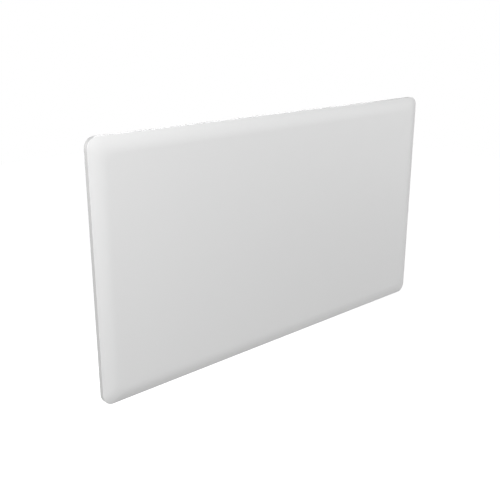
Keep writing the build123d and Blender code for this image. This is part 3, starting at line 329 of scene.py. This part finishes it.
lead_insulation = new_finish("lead_insulation", silicone, 0, silicone_roughness[0])
add_mottle(lead_insulation, silicone_patch, silicone_roughness)
add_grain(lead_insulation, silicone_cell, silicone_height)
dress(lead_insulation, "upper_element_lead", "lower_element_lead", "supply_leads", "earth_lead")

black_rubber = new_finish("black_rubber", rubber_dark, 0, rubber_roughness)
add_tones(black_rubber, rubber_patch, rubber_dark, rubber_pale)
add_grain(black_rubber, rubber_cell, coarse_height)
dress(black_rubber, "lead_grommets", "tilt_stops")


# Control box: moulded in pale plastic with a fine texture, with a lid of the same. The cord gland and the
# parts inside are black or cream mouldings, and the boards are green laminate.

mould_cell = 0.0009
mould_height = 0.000008
mould_patch = 0.02
mould_spread = 0.06
box_colour = (0.76, 0.76, 0.75)
inner_colour = (0.045, 0.045, 0.05)
terminal_colour = (0.78, 0.76, 0.66)
laminate_dark = (0.02, 0.16, 0.07)
laminate_pale = (0.04, 0.24, 0.11)
laminate_weave = 0.0015


def moulding(name, colour, roughness):
    """Moulded plastic with a fine texture, a little shinier in patches."""
    finish = new_finish(name, colour, 0, roughness)
    add_mottle(finish, mould_patch, (roughness - mould_spread, roughness + mould_spread))
    return add_grain(finish, mould_cell, mould_height)


box_plastic = moulding("box_plastic", box_colour, roughness=0.5)
inner_plastic = moulding("inner_plastic", inner_colour, roughness=0.45)
terminal_plastic = moulding("terminal_plastic", terminal_colour, roughness=0.45)
board_laminate = moulding("board_laminate", laminate_dark, roughness=0.3)
add_tones(board_laminate, laminate_weave, laminate_dark, laminate_pale)
dress(box_plastic, "control_box", "control_box_lid", "sensor_holder")
dress(inner_plastic, "cord_gland", "gland_lock_nut", "relay", "transformer", "selector", "button_switch")
dress(inner_plastic, "overheat_cutout", "room_sensor")
dress(terminal_plastic, "terminal_block", "board_connector")
dress(board_laminate, "control_board", "side_board")


# Controls on the box's right side: a fluted thermostat knob and a small button in grey, a glossy black rocker
# in its bezel, and a red lamp.

knob_colour = (0.60, 0.60, 0.60)
switch_colour = (0.02, 0.02, 0.02)
lens_colour = (0.62, 0.05, 0.03)
knob_plastic = moulding("knob_plastic", knob_colour, roughness=0.42)
switch_plastic = moulding("switch_plastic", switch_colour, roughness=0.22)
lens_plastic = moulding("lens_plastic", lens_colour, roughness=0.15)
dress(knob_plastic, "thermostat_knob", "setback_button")
dress(switch_plastic, "switch_housing", "power_rocker")
dress(lens_plastic, "indicator_lens")


# Thermostat scale: short dark marks printed on the side of the control box around the knob. They are evenly
# spaced over the range of its turn, so that a setting can be found again.

scale_steps = 10
knob_turn = math.radians(270)
mark_gap = 0.0012
mark_length = 0.0014
mark_width = 0.0005
mark_height = 0.00005
knob_low, knob_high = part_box("thermostat_knob")
side_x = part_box("control_box")[1].x
scale_centre = Vector((side_x, (knob_low.y + knob_high.y) / 2, (knob_low.z + knob_high.z) / 2))
scale_radius = (knob_high.z - knob_low.z) / 2 + mark_gap + mark_length / 2

bpy.ops.object.select_all(action="DESELECT")
bpy.ops.mesh.primitive_plane_add(size=1, rotation=(0, math.pi / 2, 0))
bpy.ops.object.transform_apply()
scale = bpy.context.object
scale.name = "thermostat_scale"
bpy.ops.object.mode_set(mode="EDIT")
bpy.ops.mesh.select_mode(type="FACE")
bpy.ops.mesh.select_all(action="SELECT")
bpy.ops.transform.resize(value=(1, mark_width, mark_length), center_override=(0, 0, 0))
bpy.ops.transform.translate(value=scale_centre + Vector((0, 0, scale_radius)))
bpy.ops.mesh.extrude_region_move(TRANSFORM_OT_translate={"value": (mark_height, 0, 0)})
bpy.ops.mesh.select_all(action="SELECT")
bpy.ops.mesh.spin(steps=1, dupli=True, angle=-knob_turn / 2, center=scale_centre, axis=(1, 0, 0))
bpy.ops.mesh.select_all(action="INVERT")
bpy.ops.mesh.delete(type="VERT")
bpy.ops.mesh.select_all(action="SELECT")
bpy.ops.mesh.spin(steps=scale_steps, dupli=True, angle=knob_turn, center=scale_centre, axis=(1, 0, 0))
bpy.ops.mesh.select_all(action="SELECT")
bpy.ops.mesh.normals_make_consistent(inside=False)
bpy.ops.object.mode_set(mode="OBJECT")
scale.data.materials.append(inner_plastic)
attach(scale, "heater")


# Wall bracket: two folded uprights and two crossbars, powder-coated light grey, with bolt guides inside and a
# grey plastic bolt at the top of each upright.

bracket_grey = (0.66, 0.66, 0.65)
bracket_coat = paint("bracket_coat", bracket_grey)
dress(bracket_coat, "left_upright", "right_upright", "upper_crossbar", "lower_crossbar", "bolt_guides")
dress(knob_plastic, "left_lock_bolt", "right_lock_bolt")


# Studio: a pale floor well below the heater and a white surround, both plain white to the camera, with large
# soft lamps. The light is strongest from above and from the left, as on the photographed heater.

floor_height = -1.3
floor_size = 14
floor_paint = (0.55, 0.55, 0.55)
floor_roughness = 0.9
floor_level = 0.85
white = (1, 1, 1, 1)
world_level = 0.229
heater_middle = Vector((0, cover_low.y, 0))


def show_background(nodes, links, lit, seen, output):
    """Lights the heater with the first shader, and shows the second to the camera and in gloss and glass."""
    path = nodes.new("ShaderNodeLightPath")
    gloss = nodes.new("ShaderNodeMath")
    gloss.operation = "MAXIMUM"
    sight = nodes.new("ShaderNodeMath")
    sight.operation = "MAXIMUM"
    mix = nodes.new("ShaderNodeMixShader")
    links.new(path.outputs["Is Glossy Ray"], gloss.inputs[0])
    links.new(path.outputs["Is Transmission Ray"], gloss.inputs[1])
    links.new(path.outputs["Is Camera Ray"], sight.inputs[0])
    links.new(gloss.outputs[0], sight.inputs[1])
    links.new(sight.outputs[0], mix.inputs[0])
    links.new(lit.outputs[0], mix.inputs[1])
    links.new(seen.outputs[0], mix.inputs[2])
    links.new(mix.outputs[0], output.inputs["Surface"])


def area_lamp(name, place, width, height, power, colour=(1, 1, 1)):
    """A soft rectangular lamp that faces the heater."""
    light = bpy.data.lights.new(name, "AREA")
    light.shape = "RECTANGLE"
    light.size = width
    light.size_y = height
    light.energy = power
    light.color = colour
    lamp = bpy.data.objects.new(name, light)
    bpy.context.scene.collection.objects.link(lamp)
    lamp.location = place
    lamp.rotation_euler = (heater_middle - Vector(place)).to_track_quat("-Z", "Y").to_euler()


floor_finish = new_finish("floor", floor_paint, 0, floor_roughness)
floor_nodes = floor_finish.node_tree.nodes
floor_links = floor_finish.node_tree.links
floor_glow = floor_nodes.new("ShaderNodeEmission")
floor_glow.inputs["Strength"].default_value = floor_level
floor_seen = floor_nodes.new("ShaderNodeAddShader")
floor_links.new(floor_nodes["Principled BSDF"].outputs[0], floor_seen.inputs[0])
floor_links.new(floor_glow.outputs[0], floor_seen.inputs[1])
floor_output = floor_nodes["Material Output"]
show_background(floor_nodes, floor_links, floor_nodes["Principled BSDF"], floor_seen, floor_output)

bpy.ops.object.select_all(action="DESELECT")
bpy.ops.mesh.primitive_plane_add(size=floor_size, location=(0, 0, floor_height))
floor = bpy.context.object
floor.name = "floor"
floor.data.materials.append(floor_finish)

world = bpy.data.worlds.new("surround")
bpy.context.scene.world = world
world.use_nodes = True
world_nodes = world.node_tree.nodes
world_lit = world_nodes["Background"]
world_lit.inputs["Color"].default_value = white
world_lit.inputs["Strength"].default_value = world_level
world_seen = world_nodes.new("ShaderNodeBackground")
world_seen.inputs["Color"].default_value = white
show_background(world_nodes, world.node_tree.links, world_lit, world_seen, world_nodes["World Output"])

overhead_power = 1.54
upper_left_power = 37.89
left_power = 1.2
right_power = 11.11
rear_power = 30.0
overhead_colour = (0.96, 1.0, 0.99)
area_lamp("overhead", (-0.2, -1.15, 1.5), 1.6, 0.8, overhead_power, overhead_colour)
area_lamp("upper_left", (-1.4, -1.2, 1.2), 1.2, 1.2, upper_left_power)
area_lamp("left", (-1.7, -0.4, 0.1), 0.8, 1.4, left_power)
area_lamp("right", (1.6, -1.2, 0.3), 1.0, 1.4, right_power)
area_lamp("left_rear", (-1.5, 2.0, 0.5), 1.8, 1.8, rear_power)
area_lamp("right_rear", (1.5, 2.0, 0.5), 1.8, 1.8, rear_power)


# Camera: to the left of the heater and a little above it, as the photograph was taken. Its place, aim and
# lens put the heater's four edges where the photograph has them.

camera_place = Vector((-0.8586, -0.9423, 0.3618))
camera_aim = Vector((-0.0786, -0.0820, -0.0149))
camera_lens = 53.58
camera_roll = math.radians(0.099)

camera_data = bpy.data.cameras.new("camera")
camera_data.lens = camera_lens
camera = bpy.data.objects.new("camera", camera_data)
bpy.context.scene.collection.objects.link(camera)
camera.location = camera_place
camera.rotation_euler = (camera_aim - camera_place).to_track_quat("-Z", "Y").to_euler()
camera.rotation_euler.rotate_axis("Z", camera_roll)
bpy.context.scene.camera = camera
bpy.context.scene.view_settings.view_transform = "Standard"
